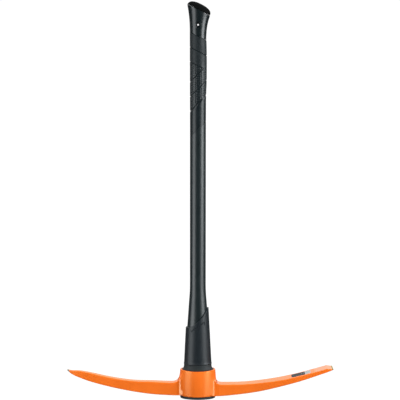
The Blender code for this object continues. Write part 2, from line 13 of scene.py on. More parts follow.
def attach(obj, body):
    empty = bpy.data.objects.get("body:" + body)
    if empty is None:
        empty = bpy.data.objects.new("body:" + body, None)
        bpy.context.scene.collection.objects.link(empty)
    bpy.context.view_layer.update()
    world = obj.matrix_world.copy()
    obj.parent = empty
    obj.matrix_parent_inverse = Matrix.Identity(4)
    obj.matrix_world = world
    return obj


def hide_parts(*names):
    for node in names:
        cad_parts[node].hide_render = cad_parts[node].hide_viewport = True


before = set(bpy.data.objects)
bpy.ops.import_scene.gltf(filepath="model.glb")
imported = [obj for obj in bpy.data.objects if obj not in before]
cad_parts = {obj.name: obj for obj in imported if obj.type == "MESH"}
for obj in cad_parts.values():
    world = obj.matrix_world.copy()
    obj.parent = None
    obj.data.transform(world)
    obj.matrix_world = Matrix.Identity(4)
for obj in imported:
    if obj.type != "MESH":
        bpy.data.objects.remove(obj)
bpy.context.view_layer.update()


# Fibreglass core: glass strands drawn through resin into one solid rod and sawn to length. It is
# bonded into the jacket, and only its sawn end shows, in the middle of the foot's underside. The
# solid from the frame is kept.
class Value:
    """A shader socket that takes part in sums, where each operator adds its Math node."""

    def __init__(self, finish, socket):
        self.finish = finish
        self.socket = socket

    def math(self, operation, *values):
        return self.finish.node("ShaderNodeMath", {"operation": operation}, dict(enumerate(values)))

    def __add__(self, other):
        return self.math("ADD", self, other)

    def __mul__(self, other):
        return self.math("MULTIPLY", self, other)

    def __sub__(self, other):
        return self.math("SUBTRACT", self, other)

    def __rsub__(self, other):
        return self.math("SUBTRACT", other, self)

    __radd__ = __add__
    __rmul__ = __mul__

    def ease(self, low, high):
        """Rise smoothly from 0 at low to 1 at high, or fall where low is the greater."""
        return self.finish.node("ShaderNodeMapRange", {"interpolation_type": "SMOOTHSTEP"},
                                {"Value": self, "From Min": low, "From Max": high})


class Finish:
    """A material in the making: fixed values sit on its shader, and node() adds what varies."""

    def __init__(self, name, fixed):
        self.material = bpy.data.materials.new(name)
        self.material.use_nodes = True
        self.tree = self.material.node_tree
        self.shader = self.tree.nodes["Principled BSDF"]
        for word, value in fixed.items():
            self.shader.inputs[word].default_value = value
        self.place = self.node("ShaderNodeTexCoord", {}, {}, "Object")
        self.x, self.y, self.z = (
            self.node("ShaderNodeSeparateXYZ", {}, {"Vector": self.place}, axis) for axis in "XYZ")

    def node(self, kind, settings, sockets, output=0):
        """Add one node, set its settings and then its sockets, and return one of its outputs."""
        made = self.tree.nodes.new(kind)
        for name, setting in settings.items():
            setattr(made, name, setting)
        for key, value in sockets.items():
            if isinstance(value, Value):
                self.tree.links.new(value.socket, made.inputs[key])
            else:
                made.inputs[key].default_value = value
        return Value(self, made.outputs[output])

    def mix(self, share, first, second):
        """Blend two colours, which are the sockets numbered 6 and 7 of a colour Mix node."""
        return self.node("ShaderNodeMix", {"data_type": "RGBA"}, {0: share, 6: first, 7: second}, 2)

    def stretched(self, x, y, z):
        return self.node("ShaderNodeMapping", {}, {"Vector": self.place, "Scale": (x, y, z)})

    def noise(self, scale, detail, place=None):
        return self.node("ShaderNodeTexNoise", {},
                         {"Vector": place or self.place, "Scale": scale, "Detail": detail})

    def feed(self, name, value):
        self.tree.links.new(value.socket, self.shader.inputs[name])

    def relief(self, height, distance):
        """Bump the surface by a height pattern whose full range is the distance in metres."""
        bump = self.node("ShaderNodeBump", {}, {"Height": height, "Distance": distance})
        self.feed("Normal", bump)


def tint(red, green, blue):
    """A colour in the shader's linear light from its 0 to 255 values on screen."""
    screen = (value / 255.0 for value in (red, green, blue))
    return tuple(((share + 0.055) / 1.055) ** 2.4 if share > 0.04 else share / 12.92
                 for share in screen) + (1.0,)


STRAND_SCALE = 1400.0
BUNDLE_SCALE = 220.0
ALONG_ROD = 0.02


def fibreglass_finish():
    finish = Finish("fibreglass rod", {})
    drawn = finish.stretched(1.0, 1.0, ALONG_ROD)
    strands = finish.node(
        "ShaderNodeTexVoronoi", {}, {"Vector": drawn, "Scale": STRAND_SCALE}, "Distance")
    bundles = finish.noise(BUNDLE_SCALE, 3.0, drawn)
    resin = finish.mix(bundles.ease(0.35, 0.7), tint(196, 180, 128), tint(222, 211, 170))
    glass = 0.55 * strands.ease(0.30, 0.05)
    finish.feed("Base Color", finish.mix(glass, resin, tint(236, 232, 214)))
    finish.feed("Roughness", 0.42 + 0.25 * bundles)
    finish.relief(strands + 0.4 * bundles, 0.00008)
    return finish.material


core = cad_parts["fibreglass_core"]
core.data.materials.clear()
core.data.materials.append(fibreglass_finish())


# Handle jacket: hard black plastic moulded round the rod in one shot. From the foot up it is the
# flange, the tapered plug in the eye, the coved shoulder, the neck under the boot and the shaft,
# with a thinner bed under the grip and a small locating hole in front.
CLEARANCE = 0.0003
CORE = (0.0240, 0.0190)
FLANGE_THICKNESS = 0.0050
FLANGE = (0.0802, 0.0632)
FLANGE_FOOT_RADIUS = 0.0005
FLANGE_TOP_RADIUS = 0.0006
BOSS_FOOT = FLANGE_THICKNESS + CLEARANCE
BOSS_HEIGHT = 0.0618
BOSS_TOP = BOSS_FOOT + BOSS_HEIGHT
EYE_FOOT = (0.0746, 0.0526)
EYE_MOUTH = (0.0726, 0.0506)
SHOULDER_TOP = BOSS_TOP + 0.0112
SHOULDER = (0.0634, 0.0478)
SHOULDER_RADIUS = 0.0006
COVE_STEPS = 12
BOOT_WALL = 0.0031
NECK_LEFT = 0.0242
NECK_RIGHT = 0.0213
NECK_DEPTH = 0.0368
BOOT_EDGE_LOW = 0.1645
BOOT_EDGE_RISE = 0.0455
BOOT_EDGE_CURVE = 1.9
TAPER_HEIGHT = 0.2300
TAPER = (0.0394, 0.0318)
SHAFT_HEIGHT = 0.2640
SHAFT = (0.0362, 0.0296)
GRIP_WALL = 0.0026
GRIP_FOOT_HEIGHT = 0.6190
GRIP_FOOT_SLOPE = 0.98
GRIP_FOOT_MARGIN = 0.0020
SKIRT_FOOT_HEIGHT = 0.8000
JACKET_COLUMNS = 96
EDGE_ROWS = 4
NECK_ROWS = 8
LOWER_TAPER_ROWS = 10
UPPER_TAPER_ROWS = 8
SHAFT_ROWS = 14
GRIP_FOOT_ROWS = 6
SHARP_ANGLE = math.radians(45.0)
JACKET_DULLING = (0.28, SHOULDER_TOP + 0.0040, SHOULDER_TOP)

# The locating hole's steps are shares of its radius with their depths. Its window is as open_window
# has it, in finer rows that reach so many radii each way.
LOCATING_HOLE_HEIGHT = 0.5846
LOCATING_HOLE_RADIUS = 0.0020
LOCATING_HOLE_STEPS = ((0.90, 0.0003), (0.88, 0.0020))
LOCATING_HOLE_WINDOW = (2, 2.4)
WINDOW_RADII = 6
WINDOW_ROWS = 24


def blend(start, end, share):
    return start + (end - start) * share


def blended(start, end, share):
    """The sizes at a share of the way from one set of sizes to another."""
    return tuple(blend(first, last, share) for first, last in zip(start, end))


def within_unit(share):
    return min(max(share, 0.0), 1.0)


def eased(share):
    share = within_unit(share)
    return share * share * (3 - 2 * share)


def shares(count, first=1):
    """Even shares of 1, from the first step of so many to the last."""
    return [step / count for step in range(first, count + 1)]


def widened(size, margin):
    """The width and depth of an oval that is larger by a margin all round."""
    return tuple(extent + 2 * margin for extent in size)


BORE = widened(CORE, CLEARANCE)
BED = widened(SHAFT, -GRIP_WALL)


def uneven_ring(height, left, right, half_depth, slope=0.0):
    """A row of points round the handle's axis: an oval at a height, tilted by slope along X."""
    def point(turn):
        x = (right if math.cos(turn) > 0 else left) * math.cos(turn)
        return Vector((x, half_depth * math.sin(turn), height + slope * x))
    return point


def ring(height, size, slope=0.0):
    return uneven_ring(height, size[0] / 2, size[0] / 2, size[1] / 2, slope)


def between(lower, upper, share):
    """A row at a share of the way from one row to another."""
    return lambda turn: lower(turn).lerp(upper(turn), share)


def rounded_edge(height, size, radius, start, stop):
    """Rows round an edge whose radius has its centre at the height, from one angle to another."""
    rows = []
    for share in shares(EDGE_ROWS, 0):
        angle = math.radians(blend(start, stop, share))
        size_there = widened(size, radius * (math.cos(angle) - 1))
        rows.append(ring(height + radius * math.sin(angle), size_there))
    return rows


def grown_edges(grown):
    """The new corners and the new edges that an extrusion gave."""
    verts = [item for item in grown["geom"] if isinstance(item, bmesh.types.BMVert)]
    edges = [item for item in grown["geom"] if isinstance(item, bmesh.types.BMEdge)]
    return verts, edges


def lofted(rows, columns):
    """Extrude a circle from row to row, and remember each corner's column, row and turn."""
    bm = bmesh.new()
    turn_of = bm.verts.layers.float.new("turn")
    column_of = bm.verts.layers.int.new("column")
    row_of = bm.verts.layers.int.new("row")
    bmesh.ops.create_circle(bm, segments=columns, radius=1.0)
    for vert in bm.verts:
        share = math.atan2(vert.co.y, vert.co.x) / (2 * math.pi) % 1.0
        vert[column_of] = round(share * columns) % columns
        vert[turn_of] = 2 * math.pi * vert[column_of] / columns
    first = bm.edges[:]
    verts, edges = bm.verts[:], first
    for index, row in enumerate(rows):
        if index:
            verts, edges = grown_edges(bmesh.ops.extrude_edge_only(bm, edges=edges))
        for vert in verts:
            vert[row_of] = index
            vert.co = row(vert[turn_of])
    return bm, first, edges


def tube(rows, columns):
    """A lofted skin whose last row is joined to its first."""
    bm, first, last = lofted(rows, columns)
    bmesh.ops.bridge_loops(bm, edges=first + last)
    return bm


def open_window(bm, side, centre_row, window, height, half, skin):
    """Bend the grid of a lofted skin on to an oval and take out the faces inside the oval.

    It faces the front (side -1) or the back (side 1). The window is its reach, in faces each way
    from its middle, and its spread, in reaches over which the grid is bent. skin(x, z) is the
    skin's distance from the middle plane. Returns the rim.
    """
    turn_of = bm.verts.layers.float["turn"]
    column_of = bm.verts.layers.int["column"]
    row_of = bm.verts.layers.int["row"]
    columns = 1 + max(vert[column_of] for vert in bm.verts)
    middle = columns // 4 if side > 0 else 3 * columns // 4
    reach, spread = window
    inside = set()
    for vert in bm.verts:
        across = -side * (vert[column_of] - middle) / reach
        up = (vert[row_of] - centre_row) / reach
        away = max(abs(across), abs(up))
        if away > spread:
            continue
        turn = math.atan2(up, across)
        share = eased((away - 1) / (spread - 1))
        x = blend(half[0] * away * math.cos(turn), vert.co.x, share)
        z = blend(height + half[1] * away * math.sin(turn), vert.co.z, share)
        vert.co = (x, side * skin(x, z), z)
        vert[turn_of] = turn
        if away <= 1:
            inside.add(vert)
    faces = [face for face in bm.faces if all(vert in inside for vert in face.verts)]
    rim = [edge for edge in dict.fromkeys(edge for face in faces for edge in face.edges)
           if sum(face in faces for face in edge.link_faces) == 1]
    bmesh.ops.delete(bm, geom=faces, context="FACES")
    return rim


def sunk(bm, edges, height, rows):
    """Extrude a window's rim inwards through rows of (half width, half height, y)."""
    turn_of = bm.verts.layers.float["turn"]
    for half_width, half_height, y in rows:
        verts, edges = grown_edges(bmesh.ops.extrude_edge_only(bm, edges=edges))
        for vert in verts:
            turn = vert[turn_of]
            vert.co = (half_width * math.cos(turn), y, height + half_height * math.sin(turn))
    return edges


def add_object(name, data):
    made = bpy.data.objects.new(name, data)
    bpy.context.scene.collection.objects.link(made)
    return made


def add_piece(name, bm, finish, body, node, sharp_angle=SHARP_ANGLE):
    """Make a named piece that rides on a body in place of a node of the frame."""
    bmesh.ops.recalc_face_normals(bm, faces=bm.faces)
    mesh = bpy.data.meshes.new(name)
    bm.to_mesh(mesh)
    bm.free()
    mesh.shade_smooth()
    mesh.set_sharp_from_angle(angle=sharp_angle)
    mesh.materials.append(finish)
    piece = add_object(name, mesh)
    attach(piece, body)
    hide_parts(node)
    return piece


def eye_size(height, margin=0.0):
    """Width and depth of the tapered eye at a height, widened by a margin on each side."""
    return widened(blended(EYE_FOOT, EYE_MOUTH, (height - BOSS_FOOT) / BOSS_HEIGHT), margin)


def neck_ring(grow):
    """The jacket's skin along the boot's curved top edge, grown by a margin."""
    left, right = NECK_LEFT + grow, NECK_RIGHT + grow
    level = uneven_ring(0.0, left, right, NECK_DEPTH / 2 + grow)

    def point(turn):
        place = level(turn)
        share = within_unit((place.x + left) / (left + right))
        place.z = BOOT_EDGE_LOW + BOOT_EDGE_RISE * share**BOOT_EDGE_CURVE
        return place
    return point


def cove_rows():
    """The cove between the plug at the eye's mouth and the shoulder under the boot."""
    plug = eye_size(BOSS_TOP, -CLEARANCE)
    rows = []
    for share in shares(COVE_STEPS, 0):
        turn = math.pi / 2 * share
        height = blend(BOSS_TOP, SHOULDER_TOP - SHOULDER_RADIUS, 1 - math.cos(turn))
        rows.append(ring(height, blended(plug, SHOULDER, math.sin(turn))))
    return rows


def shaft_rows(first, last, count):
    return [ring(blend(first, last, share), SHAFT) for share in shares(count)]


def shaft_skin(x, z):
    return SHAFT[1] / 2 * math.sqrt(1 - (2 * x / SHAFT[0]) ** 2)


def jacket_mesh():
    edge = FLANGE_FOOT_RADIUS
    rows = [ring(0.0, BORE)]
    rows += rounded_edge(edge, FLANGE, edge, -90.0, 0.0)
    rows += rounded_edge(FLANGE_THICKNESS - FLANGE_TOP_RADIUS, FLANGE, FLANGE_TOP_RADIUS, 0.0, 90.0)
    rows += [ring(FLANGE_THICKNESS, eye_size(FLANGE_THICKNESS, -CLEARANCE))]
    rows += cove_rows()
    rows += rounded_edge(SHOULDER_TOP - SHOULDER_RADIUS, SHOULDER, SHOULDER_RADIUS, 0.0, 90.0)
    foot = ring(SHOULDER_TOP, widened(SHOULDER, -BOOT_WALL - CLEARANCE))
    neck, taper = neck_ring(0.0), ring(TAPER_HEIGHT, TAPER)
    rows += [between(foot, neck, share) for share in shares(NECK_ROWS, 0)]
    rows += [between(neck, taper, share) for share in shares(LOWER_TAPER_ROWS)]
    for share in shares(UPPER_TAPER_ROWS):
        size = blended(TAPER, SHAFT, 1 - (1 - share) ** 2)
        rows.append(ring(blend(TAPER_HEIGHT, SHAFT_HEIGHT, share), size))
    radius, hole_height = LOCATING_HOLE_RADIUS, LOCATING_HOLE_HEIGHT
    below, above = hole_height - WINDOW_RADII * radius, hole_height + WINDOW_RADII * radius
    rows += shaft_rows(SHAFT_HEIGHT, below, SHAFT_ROWS)
    centre_row = len(rows) + WINDOW_ROWS // 2 - 1
    rows += shaft_rows(below, above, WINDOW_ROWS)
    level_end = ring(GRIP_FOOT_HEIGHT - SHAFT[0] / 2 - GRIP_FOOT_MARGIN, SHAFT)
    slanted_end = ring(GRIP_FOOT_HEIGHT, SHAFT, GRIP_FOOT_SLOPE)
    rows += [between(level_end, slanted_end, share) for share in shares(GRIP_FOOT_ROWS, 0)]
    rows += [ring(GRIP_FOOT_HEIGHT, BED, GRIP_FOOT_SLOPE), ring(SKIRT_FOOT_HEIGHT, BED)]
    rows += [ring(SKIRT_FOOT_HEIGHT, BORE)]
    bm = tube(rows, JACKET_COLUMNS)
    rim = open_window(
        bm, -1, centre_row, LOCATING_HOLE_WINDOW, hole_height, (radius, radius), shaft_skin)
    steps = [(share * radius, share * radius, depth - SHAFT[1] / 2)
             for share, depth in LOCATING_HOLE_STEPS]
    bmesh.ops.contextual_create(bm, geom=sunk(bm, rim, hole_height, steps))
    return bm


def moulded_finish(name, colour, roughness, grain, specular, dulled=(0.0, 0.0, 1.0)):
    """Black plastic or rubber: a fine even grain, faint cloudiness and light rubbing marks.

    It is dulled by use: by how much, and the heights from which and by which it is in full.
    """
    finish = Finish(name, {"Specular IOR Level": specular})
    cloud = finish.noise(45.0, 4.0)
    pores = finish.noise(5200.0, 2.0)
    marks = finish.noise(260.0, 3.0, finish.stretched(6.0, 6.0, 0.35))
    rubbed = marks.ease(0.60, 0.74)
    paler = tuple(value * 1.5 for value in colour[:3]) + (1.0,)
    base = finish.mix(cloud, colour, paler)
    finish.feed("Base Color", finish.mix(0.16 * rubbed, base, tint(70, 73, 75)))
    dull = dulled[0] * finish.z.ease(dulled[1], dulled[2])
    finish.feed("Roughness", roughness - 0.05 + 0.10 * cloud + 0.06 * rubbed + dull)
    finish.relief(pores + 0.5 * cloud, grain)
    return finish.material


add_piece(
    "handle_jacket_moulding", jacket_mesh(),
    moulded_finish("satin jacket plastic", tint(14, 23, 25), roughness=0.35, grain=0.00003,
                   specular=0.50, dulled=JACKET_DULLING),
    "handle", "handle_jacket")


# Guard boot: a soft black rubber sleeve pulled over the neck, which takes the blows that miss. Its
# top edge is low on the pick's side and curves up to the chisel's side, above one hooked groove.
BOOT_FOOT = SHOULDER_TOP + CLEARANCE
BOOT_EDGE_RADIUS = 0.0009
BOOT_FOOT_RADIUS = 0.0004
BOOT_LIP_HEIGHT = 0.0036
BOOT_LIP = 0.0006
BOOT_LIP_CREST = 0.15
BOOT_LIP_SHARES = (0.07, 0.13, 0.17, 0.25, 0.40, 0.60, 0.80, 0.95, 1.0)
BOOT_LOWER_ROWS = 16
BOOT_UPPER_ROWS = 84
BOOT_COLUMNS = 192
BOOT_GROOVE = (0.0018, 0.0010)
BOOT_GROOVE_PATH = (
    (-0.0150, 0.1565), (-0.0070, 0.1619), (0.0056, 0.1707), (0.0108, 0.1749), (0.0132, 0.1771),
    (0.0146, 0.1776), (0.0156, 0.1762), (0.0161, 0.1706))
QUARTER = [math.pi / 2 * share for share in shares(EDGE_ROWS, 0)]


def distance_to_path(path, x, z):
    """Shortest distance, in the middle plane, from a spot to a path of straight stretches."""
    spot = Vector((x, z))
    least = math.inf
    for start, end in zip(path, path[1:]):
        start, end = Vector(start), Vector(end)
        share = within_unit((spot - start).dot(end - start) / (end - start).length_squared)
        least = min(least, (spot - start.lerp(end, share)).length)
    return least


def groove_depth(distance, width, depth):
    """Depth of a round-bottomed groove of a width and depth, at a distance from its middle line."""
    return depth * (1 - eased(2 * distance / width))


def pressed_in(place, half_width, half_depth, depth):
    """Move a point of an oval skin inwards, square to the skin."""
    outwards = Vector((place.x / half_width**2, place.y / half_depth**2, 0.0)).normalized()
    return place - outwards * depth


def boot_row(share, grow=0.0, lift=0.0):
    """A row of the boot's outside at a share of its height, with its groove pressed in."""
    foot = ring(BOOT_FOOT, widened(SHOULDER, grow))
    edge = neck_ring(CLEARANCE + BOOT_WALL + grow)

    def point(turn):
        place = foot(turn).lerp(edge(turn), share)
        place.z += lift
        depth = groove_depth(distance_to_path(BOOT_GROOVE_PATH, place.x, place.z), *BOOT_GROOVE)
        return pressed_in(place, SHOULDER[0] / 2, SHOULDER[1] / 2, depth)
    return point


def boot_mesh():
    foot, edge = BOOT_FOOT_RADIUS, BOOT_EDGE_RADIUS
    rows = [ring(BOOT_FOOT, widened(SHOULDER, -BOOT_WALL))]
    for angle in QUARTER:
        rows.append(boot_row(0.0, foot * (math.sin(angle) - 1), foot * (1 - math.cos(angle))))
    for share in BOOT_LIP_SHARES:
        bulge = BOOT_LIP * min(share / BOOT_LIP_CREST, (1 - share) / (1 - BOOT_LIP_CREST))
        rows.append(boot_row(0.0, bulge, foot + BOOT_LIP_HEIGHT * share))
    rows += [boot_row(share / 2) for share in shares(BOOT_LOWER_ROWS, 2)]
    rows += [boot_row((1 + share) / 2, 0.0, -edge * share) for share in shares(BOOT_UPPER_ROWS)]
    for angle in QUARTER[1:]:
        rows.append(boot_row(1.0, edge * (math.cos(angle) - 1), edge * (math.sin(angle) - 1)))
    rows += [neck_ring(CLEARANCE + edge / 3), neck_ring(CLEARANCE)]
    return tube(rows, BOOT_COLUMNS)


add_piece(
    "guard_boot_rubber", boot_mesh(),
    moulded_finish("satin boot rubber", tint(18, 24, 28), roughness=0.42, grain=0.00004,
                   specular=0.34),
    "handle", "guard_boot")


# Grip sleeve: soft black rubber moulded over the jacket's thin bed, swelling a little to the right.
# Slanted grooves run round it, two of them meeting in a hook, with rows of small dimples between.
BUTT_SEAM_HEIGHT = 0.8290
BUTT_SLANT = math.radians(27.0)
BUTT_SLOPE = -math.tan(BUTT_SLANT)
BUTT = (0.0374, 0.0308)
GRIP_LENGTH = BUTT_SEAM_HEIGHT - GRIP_FOOT_HEIGHT
GRIP_SWELL = 0.0014
SWELL_START_DROP = 0.1510
SWELL_FULL_DROP = 0.0910
SWELL_END_DROP = 0.0650
GRIP_COLUMNS = 180
GRIP_DULLING = (0.18, 0.745, 0.775)
GRIP_EDGE_RADIUS = 0.0005
END_FRINGE = 0.0010
GROOVE_FRINGE = 0.0024
FRINGE_SPACING = 0.0004
GRIP_GROOVE = (0.0022, 0.0012)
UPPER_GROOVE_DROP = 0.0340
HOOK_UPPER_DROP = 0.0665
HOOK_LOWER_DROP = 0.0850
HOOK_REACH = 0.0102
HOOK_ROUNDNESS = 0.75
HOOK_TURNS = (60.0, 30.0, 0.0, -30.0, -60.0)
MIDDLE_GROOVE_DROP = 0.1185
LOWER_GROOVE_DROP = 0.1510
GROOVE_END = 0.0300
DIMPLE_RADIUS = 0.0015
DIMPLE_DEPTH = 0.0006
DIMPLE_PITCH = 0.00509
DIMPLE_FIRST_DROP = 0.0726
DIMPLE_COLUMNS = 20
DIMPLE_TURN = math.radians(3.0)
DIMPLE_GUARD = 0.0021


def slanted_path(drop, slope, end=GROOVE_END):
    height = BUTT_SEAM_HEIGHT - drop
    return ((-GROOVE_END, height - slope * GROOVE_END), (end, height + slope * end))


def hook_path():
    """The two middle grooves and the round turn that joins them on the right."""
    upper = slanted_path(HOOK_UPPER_DROP, BUTT_SLOPE, HOOK_REACH)
    lower = slanted_path(HOOK_LOWER_DROP, GRIP_FOOT_SLOPE, HOOK_REACH)
    middle = (upper[1][1] + lower[1][1]) / 2
    half = (upper[1][1] - lower[1][1]) / 2
    turn = [(HOOK_REACH + HOOK_ROUNDNESS * half * math.cos(angle), middle + half * math.sin(angle))
            for angle in map(math.radians, HOOK_TURNS)]
    return (*upper, *turn, *reversed(lower))


GRIP_PATHS = (
    slanted_path(UPPER_GROOVE_DROP, BUTT_SLOPE),
    hook_path(),
    slanted_path(MIDDLE_GROOVE_DROP, GRIP_FOOT_SLOPE),
    slanted_path(LOWER_GROOVE_DROP, GRIP_FOOT_SLOPE),
)


def grip_outside(height):
    """Half width to the left and to the right, and the half depth, of the grip at a height."""
    drop = BUTT_SEAM_HEIGHT - height
    share = within_unit(1 - drop / GRIP_LENGTH)
    swelling = eased((SWELL_START_DROP - drop) / (SWELL_START_DROP - SWELL_FULL_DROP))
    fading = within_unit(1 - drop / SWELL_END_DROP)
    swell = GRIP_SWELL * swelling * (1 - fading**2)
    width, depth = blended(SHAFT, BUTT, share)
    return width / 2, width / 2 + swell, (depth + swell) / 2


def grip_point(turn, height):
    return uneven_ring(height, *grip_outside(height))(turn)


def dimpled(drop, x):
    """Whether a spot lies in the dimpled field, between the hook's top and the lowest groove."""
    below_hook = drop > HOOK_UPPER_DROP - BUTT_SLOPE * x
    return below_hook and drop < LOWER_GROOVE_DROP - GRIP_FOOT_SLOPE * x


def dimple_depth(turn, place):
    """Depth of the nearest dimple of the field at a point of the skin."""
    pitch = 2 * math.pi / DIMPLE_COLUMNS
    middle_turn = DIMPLE_TURN + pitch * round((turn - DIMPLE_TURN) / pitch)
    row = round((BUTT_SEAM_HEIGHT - place.z - DIMPLE_FIRST_DROP) / DIMPLE_PITCH)
    drop = DIMPLE_FIRST_DROP + row * DIMPLE_PITCH
    middle = grip_point(middle_turn, BUTT_SEAM_HEIGHT - drop)
    away = (place - middle).length / DIMPLE_RADIUS
    if away > 1 or not dimpled(drop, middle.x):
        return 0.0
    if min(distance_to_path(path, middle.x, middle.z) for path in GRIP_PATHS) < DIMPLE_GUARD:
        return 0.0
    return DIMPLE_DEPTH * math.sqrt(1 - away**2)


def grip_row(drop, slope, limit, inset=0.0, drawn_in=0.0):
    """A row of the grip that keeps to a groove's slope as far as a limit on the right."""
    def point(turn):
        height = BUTT_SEAM_HEIGHT - drop
        across = grip_point(turn, height).x
        place = grip_point(turn, height + slope * min(across, limit) + inset)
        depth = max(groove_depth(distance_to_path(path, place.x, place.z), *GRIP_GROOVE)
                    for path in GRIP_PATHS)
        depth = max(depth, dimple_depth(turn, place)) + drawn_in
        left, right, half_depth = grip_outside(place.z)
        return pressed_in(place, right if place.x > 0 else left, half_depth, depth)
    return point


def graded(length, spacing, start_fringe, end_fringe):
    """Shares of a length, close together in the fringes at its ends and spaced out between them."""
    places = [0.0]
    while places[-1] < length:
        at = places[-1]
        near_end = at < start_fringe or at > length - end_fringe
        places.append(at + (FRINGE_SPACING if near_end else spacing))
    return [place / places[-1] for place in places[1:]]


def grip_mesh():
    """A station is a row's drop, slope and limit, the spacing of rows above it and its fringe."""
    edge = GRIP_EDGE_RADIUS
    foot_gap = CLEARANCE * math.hypot(1.0, GRIP_FOOT_SLOPE)
    top_gap = CLEARANCE * math.hypot(1.0, BUTT_SLOPE)
    stations = (
        (GRIP_LENGTH - foot_gap - edge, GRIP_FOOT_SLOPE, GROOVE_END, 0.00300, END_FRINGE),
        (LOWER_GROOVE_DROP, GRIP_FOOT_SLOPE, GROOVE_END, 0.00060, GROOVE_FRINGE),
        (MIDDLE_GROOVE_DROP, GRIP_FOOT_SLOPE, GROOVE_END, 0.00060, GROOVE_FRINGE),
        (HOOK_LOWER_DROP, GRIP_FOOT_SLOPE, HOOK_REACH, 0.00032, GROOVE_FRINGE),
        (HOOK_UPPER_DROP, BUTT_SLOPE, HOOK_REACH, 0.00220, GROOVE_FRINGE),
        (UPPER_GROOVE_DROP, BUTT_SLOPE, GROOVE_END, 0.00220, GROOVE_FRINGE),
        (top_gap + edge, BUTT_SLOPE, GROOVE_END, 0.0, END_FRINGE),
    )
    inner = widened(BED, CLEARANCE)
    foot, top = stations[0][:3], stations[-1][:3]
    rows = [ring(GRIP_FOOT_HEIGHT + foot_gap, inner, GRIP_FOOT_SLOPE)]
    for angle in QUARTER:
        rows.append(grip_row(*foot, -edge * math.cos(angle), edge * (1 - math.sin(angle))))
    for lower, upper in zip(stations, stations[1:]):
        for share in graded(lower[0] - upper[0], lower[3], lower[4], upper[4]):
            rows.append(grip_row(*blended(lower[:3], upper[:3], share)))
    for angle in QUARTER[1:]:
        rows.append(grip_row(*top, edge * math.sin(angle), edge * (1 - math.cos(angle))))
    rows.append(ring(BUTT_SEAM_HEIGHT - top_gap, inner, BUTT_SLOPE))
    return tube(rows, GRIP_COLUMNS)


add_piece(
    "grip_sleeve_rubber", grip_mesh(),
    moulded_finish("soft grip rubber", tint(12, 20, 23), roughness=0.35, grain=0.00004,
                   specular=0.36, dulled=GRIP_DULLING),
    "handle", "grip_sleeve")


# Butt cap: glossy black plastic, whose skirt is glued over the rod's end inside the grip. It flares
# to a slanted top, and the hang hole goes through it between two oval dishes.
BUTT_TOP_HEIGHT = 0.8884
CORE_TOP = 0.8420
KNOB_LEFT = 0.0246
KNOB_RIGHT = 0.0270
KNOB_DEPTH = 0.0384
KNOB_FLARE = 2.3
KNOB_ROWS = 40
KNOB_COLUMNS = 128
KNOB_EDGE_RADIUS = 0.0005
HANG_HOLE_HEIGHT = 0.8543
HANG_HOLE_RADIUS = 0.0019
HANG_HOLE_MIDDLE = 0.0030
HANG_RECESS = (0.0045, 0.0079)
HANG_RECESS_DEPTH = 0.0030
HANG_LIP = 0.0005
HANG_WINDOW = (5, 1.8)
PEG = (0.0240, 0.0160)
PEG_LENGTH = 0.0080


def knob_rise(height):
    return (height - BUTT_SEAM_HEIGHT) / (BUTT_TOP_HEIGHT - BUTT_SEAM_HEIGHT)


def knob_size(height):
    """Left, right and half depth of the cap where its slanted row crosses the axis at a height."""
    seam = (BUTT[0] / 2, BUTT[0] / 2, BUTT[1] / 2)
    flare = within_unit(knob_rise(height)) ** KNOB_FLARE
    return blended(seam, (KNOB_LEFT, KNOB_RIGHT, KNOB_DEPTH / 2), flare)


def knob_row(height, drawn_in=0.0):
    return uneven_ring(height, *(size - drawn_in for size in knob_size(height)), BUTT_SLOPE)


def knob_skin(x, z):
    left, right, half_depth = knob_size(z - BUTT_SLOPE * x)
    return half_depth * math.sqrt(1 - (x / (right if x > 0 else left)) ** 2)


def slanted_oval(drop, width, depth):
    """A row parallel to the butt's slanted top, below it by drop along the slant's normal."""
    middle = (KNOB_RIGHT - KNOB_LEFT) / 2
    across = Vector((math.cos(BUTT_SLANT), 0.0, -math.sin(BUTT_SLANT)))
    outwards = Vector((math.sin(BUTT_SLANT), 0.0, math.cos(BUTT_SLANT)))
    centre = Vector((middle, 0.0, BUTT_TOP_HEIGHT + BUTT_SLOPE * middle)) - outwards * drop

    def point(turn):
        side = Vector((0.0, depth / 2 * math.sin(turn), 0.0))
        return centre + across * (width / 2 * math.cos(turn)) + side
    return point


def capped(rows, columns):
    """A lofted skin that is closed with a flat face at each end."""
    bm, first, last = lofted(rows, columns)
    for loop in (first, last):
        bmesh.ops.contextual_create(bm, geom=loop)
    return bm


